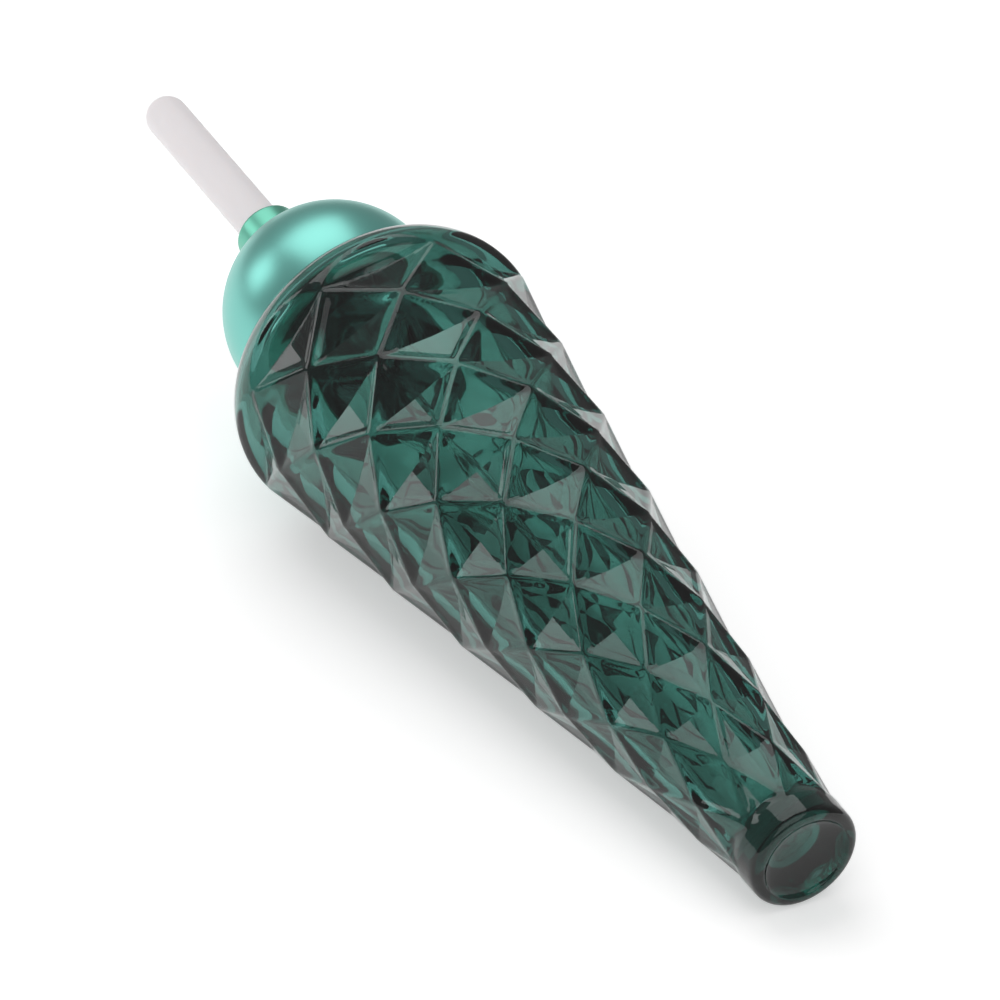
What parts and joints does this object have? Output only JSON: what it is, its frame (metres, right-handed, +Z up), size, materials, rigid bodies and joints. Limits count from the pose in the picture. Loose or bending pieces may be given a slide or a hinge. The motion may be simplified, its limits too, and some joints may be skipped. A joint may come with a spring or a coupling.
{
  "type": "faceted glass dropper bottle",
  "caption": "Faceted green glass cone bottle lying on its side, with a screw-on anodised ball cap, a long white silicone bulb and a glass pipette inside.",
  "frame": {"origin": "middle of the bounding box, on the surface that the bottle lies on", "axes": "+Z up; +Y runs along the lying bottle, from its foot towards the tip of the bulb, whose axis rises 7.7 degrees in that direction; +X across"},
  "size_m": [0.0602, 0.242, 0.0598],
  "materials": {
    "green_glass": "polished thick glass, deep bottle green",
    "clear_glass": "clear polished",
    "teal_anodised": "satin anodised",
    "green_anodised": "satin anodised",
    "white_silicone": "matte silicone",
    "black_plastic": "moulded",
    "natural_plastic": "moulded, slightly translucent",
    "seal_foam": "closed-cell foam"
  },
  "bodies": {
    "bottle": {"glass_bottle": "green_glass", "neck_wiper": "natural_plastic"},
    "dropper": {"rubber_bulb": "white_silicone", "pipette": "clear_glass", "sealing_washer": "seal_foam"},
    "cap": {"ball_shell": "teal_anodised", "ball_liner": "black_plastic", "ball_base_plate": "black_plastic", "inner_cap": "black_plastic", "collar_ring": "green_anodised"}
  },
  "joints": [
    {"name": "cap_lift", "type": "slide", "parent": "bottle", "child": "dropper", "axis": [0, 0.9911, 0.1329], "range_m": [0, 0.0045]},
    {"name": "cap_turn", "type": "hinge", "parent": "dropper", "child": "cap", "pos_m": [0, 0.04772, 0.03273], "axis": [0, 0.9911, 0.1329], "range_deg": [0, 540]}
  ],
  "couplings": [
    {"joint": "cap_turn", "follows": "cap_lift", "rad_per_m": 2094.4}
  ]
}
